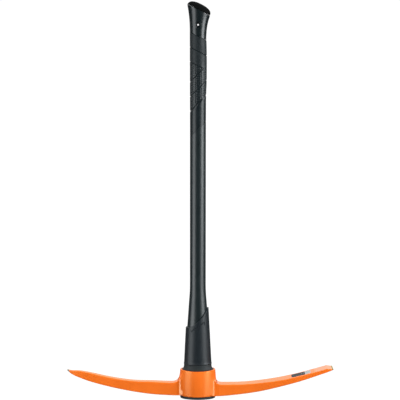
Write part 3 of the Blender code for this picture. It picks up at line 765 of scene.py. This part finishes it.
def butt_cap_mesh():
    skirt_foot = SKIRT_FOOT_HEIGHT + CLEARANCE
    edge = KNOB_EDGE_RADIUS
    rows = [ring(CORE_TOP + CLEARANCE, BORE), ring(skirt_foot, BORE), ring(skirt_foot, BED)]
    rows += [ring(BUTT_SEAM_HEIGHT, BED, BUTT_SLOPE), knob_row(BUTT_SEAM_HEIGHT, edge)]
    centre_row = len(rows) + round(knob_rise(HANG_HOLE_HEIGHT) * KNOB_ROWS)
    last_height = BUTT_TOP_HEIGHT - edge
    rows += [knob_row(blend(BUTT_SEAM_HEIGHT + edge, last_height, share))
             for share in shares(KNOB_ROWS, 0)]
    rows += [knob_row(last_height + 0.7 * edge, 0.3 * edge), knob_row(BUTT_TOP_HEIGHT, edge)]
    pocket = widened(PEG, CLEARANCE)
    rows += [slanted_oval(0.0, *pocket), slanted_oval(PEG_LENGTH + CLEARANCE, *pocket)]
    bm = capped(rows, KNOB_COLUMNS)
    wide, tall = HANG_RECESS
    radius, lip = HANG_HOLE_RADIUS, HANG_LIP
    skin = knob_skin(wide, HANG_HOLE_HEIGHT)
    floor = knob_skin(0.0, HANG_HOLE_HEIGHT) - HANG_RECESS_DEPTH
    tunnel = []
    for side in (-1, 1):
        rim = open_window(bm, side, centre_row, HANG_WINDOW, HANG_HOLE_HEIGHT,
                          (wide + lip, tall + lip), knob_skin)
        tunnel += sunk(bm, rim, HANG_HOLE_HEIGHT, [
            (wide + 0.2 * lip, tall + 0.2 * lip, side * (skin - 0.3 * lip)),
            (wide, tall, side * (skin - 1.2 * lip)),
            (wide - lip / 2, tall - lip / 2, side * (floor + lip)),
            (wide - 1.5 * lip, tall - 1.5 * lip, side * floor),
            (radius + lip / 2, radius + lip / 2, side * floor),
            (radius, radius, side * (floor - lip)),
            (radius, radius, side * HANG_HOLE_MIDDLE)])
    bmesh.ops.bridge_loops(bm, edges=tunnel)
    return bm


add_piece(
    "butt_cap_moulding", butt_cap_mesh(),
    moulded_finish("glossy butt plastic", tint(11, 19, 21), roughness=0.28, grain=0.00001,
                   specular=0.45),
    "handle", "butt_cap")


# Butt pad: a matt rubber dome on the cap's slanted top, which takes the knocks when the tool is set
# down. A peg under it is pressed and glued into the cap's pocket.
PAD_HEIGHT = 0.0143
PAD_INSET = 0.0006
PAD_ROUNDNESS = 2.4
PAD_ROWS = 26
PAD_COLUMNS = 96


def butt_pad_mesh():
    width = (KNOB_LEFT + KNOB_RIGHT) / math.cos(BUTT_SLANT)
    base = widened((width, KNOB_DEPTH), -PAD_INSET)
    rows = [slanted_oval(PEG_LENGTH, *PEG), slanted_oval(-CLEARANCE, *PEG)]
    rows.append(slanted_oval(-CLEARANCE, *widened(base, -PAD_INSET)))
    for step in range(PAD_ROWS):
        turn = math.pi / 2 * (step + 0.5) / PAD_ROWS
        rise = math.sin(turn) ** (2 / PAD_ROUNDNESS)
        size = math.cos(turn) ** (2 / PAD_ROUNDNESS)
        drop = -blend(CLEARANCE, PAD_HEIGHT, rise)
        rows.append(slanted_oval(drop, base[0] * size, base[1] * size))
    return capped(rows, PAD_COLUMNS)


add_piece(
    "butt_pad_rubber", butt_pad_mesh(),
    moulded_finish("matt pad rubber", tint(6, 7, 7), roughness=0.70, grain=0.00008, specular=0.06),
    "handle", "butt_pad")


# Pick head: one steel forging, a boss with the tapered eye, a pointed arm and a chisel arm. It is
# sprayed orange all over and then ground, so that the point and the chisel's edge are bare steel.
BOSS_END = (0.0804, 0.0627)
BOSS_BULGE = 0.0018
RIM_DIP = 0.0020
CAGE_COLUMNS = 32
CAGE_FULLNESS = 3 / (2 + math.cos(2 * math.pi / CAGE_COLUMNS))
ARM_ROOT = BOSS_END[0] / 2 - 0.0050
ARM_START = 0.0580
ARM_CORNER = 0.0026
ARM_CORNER_SHARE = 0.42
ARM_FOOT_ROW = 2
BOSS_SIDE = BOSS_END[0] / 2 + BOSS_BULGE
SIDE_WEB_RADIUS = 0.0100
FORGED_REACH = 0.2850
FORGING_SCALE = 12.0
FORGING_SEED = 1
FORGING_WAVE = 0.00005
PICK_REACH = 0.3005
PICK_SIZE = (0.0572, 0.0302, 0.0250)
PICK_TOP_ROW = 8
PICK_HALF_COLUMNS = 3
PICK_WEB_RADIUS = 0.0155
PICK_WEB_END = 0.0456
PICK_STATIONS = 18
PICK_TIP_START = 0.2750
PICK_TIP_SHARES = (0.2, 0.4, 0.6, 0.8, 0.94, 1.0)
CHISEL_REACH = 0.3110
CHISEL_SIZE = (0.0630, 0.0270, 0.0460)
CHISEL_TOP_ROW = 7
CHISEL_HALF_COLUMNS = 4
CHISEL_WEB_RADIUS = 0.0100
CHISEL_WEB_END = 0.0408
CHISEL_STATIONS = 20
CHISEL_EDGE_THICKNESS = 0.0009
CHISEL_EDGE_BREADTH = 0.0442
CHISEL_EDGE_SHARE = 0.72
BEVEL_APPROACH = 0.0080
BEVEL_MARGINS = (-0.0008, 0.0, 0.0012)
BEVEL_SHARES = (0.4, 0.7, 0.93, 1.0)

# Heights of the rows of the boss's cage, mostly with how far they stand out: round the foot, up
# the side, over the rim, into the eye's mouth and down the eye
FOOT_ROWS = ((BOSS_FOOT, -0.0026), (BOSS_FOOT, -0.0001))
SIDE_ROWS = (0.0078, 0.0130, 0.0205, 0.0285, 0.0365, 0.0453, 0.0550, 0.0620)
RIM_ROWS = ((BOSS_TOP - 0.0014, 0.0001), (BOSS_TOP, -0.0003), (BOSS_TOP, -0.0018))
MOUTH_ROWS = ((BOSS_TOP - 0.0010, 0.0006), (BOSS_TOP - 0.0022, 0.0))
EYE_ROWS = (
    (0.0500, 0.0), (0.0250, 0.0), (BOSS_FOOT + 0.0016, 0.0), (BOSS_FOOT, 0.0), (BOSS_FOOT, 0.0009))

# Stations of an arm in the webs by the boss: distance from the axis, and flatness
WEB_STATIONS = [(0.0444, 0.15), (0.0452, 0.31), (0.0466, 0.47), (0.0485, 0.66), (0.0520, 0.9)]

# Shares of an arm's reach, rise, depth and breadth, from the boss to the tip
PICK_SHAPE = (
    (0.00, 0.016, 0.97, 1.00),
    (0.10, 0.022, 0.97, 0.98),
    (0.26, 0.062, 0.955, 0.88),
    (0.43, 0.170, 0.80, 0.84),
    (0.62, 0.346, 0.71, 0.78),
    (0.79, 0.548, 0.66, 0.67),
    (0.885, 0.700, 0.54, 0.52),
    (0.96, 0.848, 0.29, 0.30),
    (1.00, 1.000, 0.08, 0.13),
)
CHISEL_SHAPE = (
    (0.00, 0.000, 1.00, 0.78),
    (0.07, 0.010, 0.99, 0.77),
    (0.235, 0.084, 0.84, 0.78),
    (0.40, 0.200, 0.72, 0.84),
    (0.565, 0.378, 0.555, 0.93),
    (0.73, 0.578, 0.463, 0.96),
    (0.90, 0.833, 0.343, 0.99),
    (0.948, 0.905, 0.318, 1.00),
)
BEVEL_START = blend(ARM_ROOT, CHISEL_REACH, CHISEL_SHAPE[-1][0])


def smooth_row(row, share):
    """Read a smooth curve through a row of stations whose first value is the share."""
    index = max(0, min(len(row) - 2, sum(share > station[0] for station in row) - 1))
    before, start = row[max(index - 1, 0)], row[index]
    end, after = row[index + 1], row[min(index + 2, len(row) - 1)]
    span = end[0] - start[0]
    t = (share - start[0]) / span
    values = []
    for item in range(1, len(start)):
        leaving = (end[item] - before[item]) / (end[0] - before[0]) * span
        arriving = (after[item] - start[item]) / (after[0] - start[0]) * span
        values.append(
            (2 * t**3 - 3 * t**2 + 1) * start[item] + (t**3 - 2 * t**2 + t) * leaving
            + (3 * t**2 - 2 * t**3) * end[item] + (t**3 - t**2) * arriving)
    return values


def arm_profile(shape, size, reach, distance):
    """Underside, top and breadth of an arm at a distance from the handle's axis."""
    rise, depth, breadth = size
    share = (distance - ARM_ROOT) / (reach - ARM_ROOT)
    lift, tall, broad = smooth_row(shape, min(share, shape[-1][0]))
    foot = BOSS_FOOT + rise * lift
    return foot, foot + depth * tall, breadth * broad


def pick_profile(distance):
    return arm_profile(PICK_SHAPE, PICK_SIZE, PICK_REACH, distance)


def chisel_profile(distance):
    """The chisel arm's section, which past its last station is the ground bevel."""
    foot, top, breadth = arm_profile(CHISEL_SHAPE, CHISEL_SIZE, CHISEL_REACH, distance)
    edge_foot = blend(foot, top, CHISEL_EDGE_SHARE)
    edge = (edge_foot, edge_foot + CHISEL_EDGE_THICKNESS, CHISEL_EDGE_BREADTH)
    share = within_unit((distance - BEVEL_START) / (CHISEL_REACH - BEVEL_START))
    return blended((foot, top, breadth), edge, share)


def web(distance, radius):
    """How far a quarter-round web stands out, at a distance from its far end."""
    inside = min(max(distance, 0.0), radius)
    return radius - math.sqrt(radius**2 - inside**2)


def spaced(index, last, size, corner):
    """Place of a cage line between 0 and size, with a line one corner in from each end."""
    if index in (0, last):
        return size * index / last
    return blend(corner, size - corner, (index - 1) / (last - 2))


def boss_row(height, size, grow=0.0, dip=0.0):
    """A row of the boss's cage, made fuller so that its smooth surface has the right size.

    It dips in front and behind, as the boss's upper rim does.
    """
    level = ring(height, tuple(CAGE_FULLNESS * extent for extent in widened(size, grow)))
    return lambda turn: level(turn) - Vector((0.0, 0.0, dip * math.sin(turn) ** 2))


def grow_arm(bm, side, half_columns, top_row, profile, stations, web_radius, side_web_end):
    """Extrude an arm out of the faces on one side of the boss, through its stations.

    A station is a distance from the axis and how flat its section is, from 0, bent like the boss,
    to 1, square to the arm. The web on top has the radius given, and those at the sides their end.
    """
    column_of = bm.verts.layers.int["column"]
    row_of = bm.verts.layers.int["row"]
    middle = 0 if side > 0 else CAGE_COLUMNS // 2
    half_turn = CAGE_COLUMNS // 2

    def offset(vert):
        return (vert[column_of] - middle + half_turn) % CAGE_COLUMNS - half_turn

    faces = [face for face in bm.faces if all(
        abs(offset(vert)) <= half_columns and ARM_FOOT_ROW <= vert[row_of] <= top_row
        for vert in face.verts)]
    for distance, flatness in stations:
        edges = dict.fromkeys(edge for face in faces for edge in face.edges)
        grown = bmesh.ops.extrude_face_region(bm, geom=[*faces, *edges])
        faces = [item for item in grown["geom"] if isinstance(item, bmesh.types.BMFace)]
        for vert in {vert for face in faces for vert in face.verts}:
            column = offset(vert) * side
            bow = BOSS_END[0] / 2 * (1 - math.cos(2 * math.pi * column / CAGE_COLUMNS))
            reach = distance - (1 - flatness) * bow
            foot, top, breadth = profile(max(reach, ARM_ROOT))
            corner = min(ARM_CORNER, ARM_CORNER_SHARE * min(breadth, top - foot))
            top_web = web(BOSS_SIDE + web_radius - reach, web_radius)
            breadth += 2 * web(side_web_end - reach, SIDE_WEB_RADIUS)
            across = spaced(column + half_columns, 2 * half_columns, breadth, corner)
            row = vert[row_of] - ARM_FOOT_ROW
            up = spaced(row, top_row - ARM_FOOT_ROW, top - foot + top_web, corner)
            vert.co = (side * reach, across - breadth / 2, foot + up)


def arm_stations(last, count):
    """The stations in the web by the boss, and then even ones as far as last."""
    return WEB_STATIONS + [(blend(ARM_START, last, share), 1.0) for share in shares(count, 0)]


def head_mesh():
    rows = [boss_row(height, BOSS_END, grow) for height, grow in FOOT_ROWS]
    for height in SIDE_ROWS:
        share = (height - BOSS_FOOT) / BOSS_HEIGHT
        dip = RIM_DIP * within_unit(3 * share - 2)
        rows.append(boss_row(height, BOSS_END, BOSS_BULGE * math.sin(math.pi * share), dip))
    rows += [boss_row(height, BOSS_END, grow, RIM_DIP) for height, grow in RIM_ROWS]
    rows += [boss_row(height, eye_size(height), grow, RIM_DIP) for height, grow in MOUTH_ROWS]
    rows += [boss_row(height, eye_size(height), grow) for height, grow in EYE_ROWS]
    bm = tube(rows, CAGE_COLUMNS)
    stations = arm_stations(PICK_TIP_START, PICK_STATIONS)
    stations += [(blend(PICK_TIP_START, PICK_REACH, share), 1.0) for share in PICK_TIP_SHARES]
    grow_arm(bm, -1, PICK_HALF_COLUMNS, PICK_TOP_ROW, pick_profile, stations, PICK_WEB_RADIUS,
             PICK_WEB_END)
    stations = arm_stations(BEVEL_START - BEVEL_APPROACH, CHISEL_STATIONS)
    stations += [(BEVEL_START + margin, 1.0) for margin in BEVEL_MARGINS]
    stations += [(blend(BEVEL_START, CHISEL_REACH, share), 1.0) for share in BEVEL_SHARES]
    grow_arm(bm, 1, CHISEL_HALF_COLUMNS, CHISEL_TOP_ROW, chisel_profile, stations,
             CHISEL_WEB_RADIUS, CHISEL_WEB_END)
    noise.seed_set(FORGING_SEED)
    for vert in bm.verts:
        out = math.hypot(vert.co.x, vert.co.y)
        if out > BOSS_END[0] / 2 and abs(vert.co.x) < FORGED_REACH:
            vert.co += FORGING_WAVE * noise.noise_vector(vert.co * FORGING_SCALE)
    return bm


ORANGE = tint(224, 103, 28)
SHEEN = (1.0, 0.95, 0.40, 1.0)

# Along X, from whole paint to bare steel at the chisel's edge and at the point
BARE_EDGE = (0.3090, 0.3105)
BARE_POINT = (-0.2965, -0.2985)

# Pooled paint is glossier: where that begins and ends out along an arm, and at which heights
WEB_GLOSS_START = (0.0340, 0.0362)
WEB_GLOSS_END = (0.0500, 0.0460)
WEB_GLOSS_TOP = (0.0480, 0.0400)
RIM_GLOSS = (BOSS_TOP - 0.0050, BOSS_TOP - 0.0030)


def head_finish():
    """Glossy orange paint with a faint orange peel, over steel that shows at the ground tips."""
    finish = Finish("orange paint over steel", {
        "Coat Roughness": 0.12, "Specular IOR Level": 0.52, "Specular Tint": SHEEN})
    ragged = finish.noise(320.0, 4.0) * 0.0040
    bare = (finish.x + ragged).ease(*BARE_EDGE) + (finish.x - ragged).ease(*BARE_POINT)
    cloud = finish.noise(26.0, 4.0)
    specks = finish.noise(900.0, 2.0).ease(0.70, 0.78)
    paint = finish.mix(cloud.ease(0.35, 0.7), ORANGE, tint(229, 106, 30))
    paint = finish.mix(0.35 * specks, paint, tint(186, 82, 20))
    grinding = finish.noise(150.0, 3.0, finish.stretched(1.0, 22.0, 22.0))
    steel = finish.mix(grinding, tint(92, 80, 72), tint(158, 146, 134))
    finish.feed("Base Color", finish.mix(bare, paint, steel))
    finish.feed("Metallic", 0.85 * bare)
    out = finish.x * finish.x
    start, end = ([reach**2 for reach in span] for span in (WEB_GLOSS_START, WEB_GLOSS_END))
    webs = out.ease(*start) * out.ease(*end) * finish.z.ease(*WEB_GLOSS_TOP)
    pooled = webs + finish.z.ease(*RIM_GLOSS)
    finish.feed("Roughness", 0.30 + 0.10 * cloud + 0.12 * bare - 0.20 * pooled)
    finish.feed("Coat Weight", 0.05 - 0.05 * bare + 0.45 * webs)
    peel = finish.noise(700.0, 1.0)
    waves = finish.noise(60.0, 2.0)
    finish.relief(0.25 * peel + 0.5 * waves + 0.3 * bare * grinding - 0.6 * bare, 0.00005)
    return finish.material


head = add_piece("pick_head_forging", head_mesh(), head_finish(), "head", "pick_head",
                 math.pi)
smooth = head.modifiers.new("smooth", "SUBSURF")
smooth.levels = 2
smooth.render_levels = 2


# Arm label: a thin film stuck on the top of the chisel arm, dark with a pale end and two dots.
# It has round corners and follows the arm, laid on the finished surface from above.
LABEL_START = 0.2157
LABEL_LENGTH = 0.0440
LABEL_WIDTH = 0.0330
LABEL_THICKNESS = 0.0003
LABEL_LIFT = 0.00012
LABEL_CORNER = 0.0040
LABEL_CELLS = (44, 33)
LABEL_PALE = tint(143, 148, 148)
LABEL_PALE_START = 0.2466
LABEL_BLEED = 0.0002
LABEL_DOTS = (-0.0082, -0.0032)
LABEL_DOT_SIDE = 0.0020
LABEL_DOT_FADE = (0.0016, 0.0013)


def round_corner(along, across):
    """Pull a spot of a rectangle's corner square on to the corner's round."""
    spare = [max(abs(place) - (size / 2 - LABEL_CORNER), 0.0) / LABEL_CORNER
             for place, size in ((along, LABEL_LENGTH), (across, LABEL_WIDTH))]
    drawn = [own * math.sqrt(1 - other**2 / 2) for own, other in zip(spare, reversed(spare))]
    return [math.copysign(abs(place) - (before - after) * LABEL_CORNER, place)
            for place, before, after in zip((along, across), spare, drawn)]


def label_mesh():
    surface = BVHTree.FromObject(head, bpy.context.evaluated_depsgraph_get())
    bm = bmesh.new()
    bmesh.ops.create_grid(bm, x_segments=LABEL_CELLS[0], y_segments=LABEL_CELLS[1], size=0.5)
    for vert in bm.verts:
        along, across = round_corner(vert.co.x * LABEL_LENGTH, vert.co.y * LABEL_WIDTH)
        above = Vector((LABEL_START + LABEL_LENGTH / 2 + along, across, BOSS_TOP * 2))
        landed = surface.ray_cast(above, Vector((0.0, 0.0, -1.0)))[0]
        vert.co = landed + Vector((0.0, 0.0, LABEL_LIFT))
    bmesh.ops.recalc_face_normals(bm, faces=bm.faces)
    bmesh.ops.solidify(bm, geom=bm.faces[:], thickness=-LABEL_THICKNESS)
    return bm


def label_finish():
    finish = Finish("printed label film", {"Specular IOR Level": 0.12})
    pale = finish.x.ease(LABEL_PALE_START - LABEL_BLEED, LABEL_PALE_START + LABEL_BLEED)

    def dot(place):
        x = finish.x - (LABEL_PALE_START + place)
        y = finish.y - LABEL_DOT_SIDE
        return (x * x + y * y).ease(*(radius**2 for radius in LABEL_DOT_FADE))

    scuffs = finish.noise(420.0, 4.0, finish.stretched(1.0, 5.0, 1.0)).ease(0.58, 0.72)
    ground = finish.mix(pale, tint(40, 44, 46), LABEL_PALE)
    printed = finish.mix(sum(map(dot, LABEL_DOTS)), ground, LABEL_PALE)
    finish.feed("Base Color", finish.mix(0.25 * scuffs, printed, tint(120, 118, 116)))
    finish.feed("Roughness", 0.55 + 0.2 * scuffs)
    finish.relief(finish.noise(1500.0, 2.0) + 0.5 * scuffs, 0.00002)
    return finish.material


add_piece("arm_label_film", label_mesh(), label_finish(), "head", "arm_label")


# Stage: a pale floor under the standing tool, a white sky, two pairs of soft boxes beside the
# camera, light off the ceiling and the wall in front, and the camera itself, where the photograph
# was taken from.
FLOOR_SIZE = 60.0
FLOOR_CELLS = 8
FLOOR_GAP = 0.0002
FLOOR_GLOW = 0.97
CAMERA_DISTANCE = 3.9
CAMERA_HEIGHT = 0.86
AIM_HEIGHT = 0.457
FRAME_PIXELS = 400.0
FOCAL_PIXELS = 1720.0
AXIS_PIXEL = 197.90
SENSOR_WIDTH = 36.0
CAMERA_ROLL = math.radians(0.06)
SEEN_SKY = 1.03
BOUNCE_SPREAD = math.radians(70.0)
BOX_COLOUR = (0.955, 1.0, 1.02)
BOX_DISTANCE = 2.2

# How the surroundings' light changes: from and to a direction's share, from and to a strength
SKY_BEHIND = (-0.30, 0.50, 0.12, 1.05)
SKY_ABOVE = (-0.06, 0.10, 0.05, 1.0)
SKY_BELOW = (-0.85, -0.30, 0.45, 0.0)

# Strength of the light off a wall or the ceiling, and its tilt in degrees
BOUNCES = {"ceiling": (3.1, 0.0), "front_wall": (0.64, 60.0)}

# A soft box's azimuth in degrees, height, width and height of its face, and watts
SOFT_BOXES = {
    "upper_left_box": (-49.0, 0.88, (1.40, 1.44), 27.5),
    "lower_left_box": (-55.0, -0.42, (1.50, 1.16), 31.0),
    "upper_right_box": (59.5, 0.88, (1.20, 1.44), 50.0),
    "lower_right_box": (51.0, -0.42, (1.20, 1.16), 18.0),
}


def floor_finish():
    finish = Finish("lit white floor", {
        "Roughness": 0.8, "Specular IOR Level": 0.0,
        "Emission Color": (1.0, 1.0, 1.0, 1.0), "Emission Strength": FLOOR_GLOW})
    cloud = finish.noise(3.0, 3.0)
    finish.feed("Base Color", finish.mix(cloud, tint(66, 66, 66), tint(70, 70, 70)))
    return finish.material


def add_floor():
    bm = bmesh.new()
    bmesh.ops.create_grid(
        bm, x_segments=FLOOR_CELLS, y_segments=FLOOR_CELLS, size=FLOOR_SIZE / 2)
    mesh = bpy.data.meshes.new("floor")
    bm.to_mesh(mesh)
    bm.free()
    mesh.materials.append(floor_finish())
    floor = add_object("floor", mesh)
    floor.location.z = -FLOOR_GAP
    floor.visible_glossy = False
    floor.visible_diffuse = False


def add_soft_box(name, azimuth, height, size, watts):
    """A rectangular lamp that stands at an azimuth round the tool and faces it level."""
    lamp = bpy.data.lights.new(name, "AREA")
    lamp.shape = "RECTANGLE"
    lamp.size, lamp.size_y = size
    lamp.energy = watts
    lamp.color = BOX_COLOUR
    box = add_object(name, lamp)
    angle = math.radians(azimuth)
    box.location = (BOX_DISTANCE * math.sin(angle), -BOX_DISTANCE * math.cos(angle), height)
    towards = Vector((0.0, 0.0, height)) - box.location
    box.rotation_euler = towards.to_track_quat("-Z", "Y").to_euler()


def add_bounce(name, strength, tilt):
    """Soft light off a far white wall or ceiling, too even to mirror, tilted from above."""
    lamp = bpy.data.lights.new(name, "SUN")
    lamp.energy = strength
    lamp.angle = BOUNCE_SPREAD
    bounce = add_object(name, lamp)
    bounce.rotation_euler = (math.radians(tilt), 0.0, 0.0)
    bounce.visible_glossy = False


def add_sky():
    """Surroundings that are dim in front of the tool, bright behind and below, white to the eye."""
    world = bpy.data.worlds.new("studio")
    world.use_nodes = True
    nodes, links = world.node_tree.nodes, world.node_tree.links
    towards = nodes.new("ShaderNodeTexCoord")
    split = nodes.new("ShaderNodeSeparateXYZ")
    links.new(towards.outputs["Generated"], split.inputs["Vector"])
    light = nodes.new("ShaderNodeMath")
    light.operation = "MULTIPLY_ADD"
    for index, (axis, span) in enumerate((("Y", SKY_BEHIND), ("Z", SKY_ABOVE), ("Z", SKY_BELOW))):
        share = nodes.new("ShaderNodeMapRange")
        share.interpolation_type = "SMOOTHSTEP"
        for word, value in zip(("From Min", "From Max", "To Min", "To Max"), span):
            share.inputs[word].default_value = value
        links.new(split.outputs[axis], share.inputs["Value"])
        links.new(share.outputs["Result"], light.inputs[index])
    around = nodes["Background"]
    links.new(light.outputs["Value"], around.inputs["Strength"])
    seen = nodes.new("ShaderNodeBackground")
    for background in (around, seen):
        background.inputs["Color"].default_value = (1.0, 1.0, 1.0, 1.0)
    seen.inputs["Strength"].default_value = SEEN_SKY
    choice = nodes.new("ShaderNodeMixShader")
    links.new(nodes.new("ShaderNodeLightPath").outputs["Is Camera Ray"], choice.inputs[0])
    links.new(around.outputs[0], choice.inputs[1])
    links.new(seen.outputs[0], choice.inputs[2])
    links.new(choice.outputs[0], nodes["World Output"].inputs["Surface"])
    bpy.context.scene.world = world


def add_camera():
    lens = bpy.data.cameras.new("camera")
    lens.sensor_width = SENSOR_WIDTH
    lens.lens = FOCAL_PIXELS / FRAME_PIXELS * SENSOR_WIDTH
    camera = add_object("camera", lens)
    shift = (FRAME_PIXELS / 2 - AXIS_PIXEL) * CAMERA_DISTANCE / FOCAL_PIXELS
    camera.location = (shift, -CAMERA_DISTANCE, CAMERA_HEIGHT)
    tilt = math.atan2(CAMERA_HEIGHT - AIM_HEIGHT, CAMERA_DISTANCE)
    turned = Matrix.Rotation(math.pi / 2 - tilt, 3, "X") @ Matrix.Rotation(CAMERA_ROLL, 3, "Z")
    camera.rotation_euler = turned.to_euler()
    bpy.context.scene.camera = camera


add_floor()
add_sky()
for name, values in BOUNCES.items():
    add_bounce(name, *values)
for name, values in SOFT_BOXES.items():
    add_soft_box(name, *values)
add_camera()
bpy.context.scene.view_settings.view_transform = "Standard"
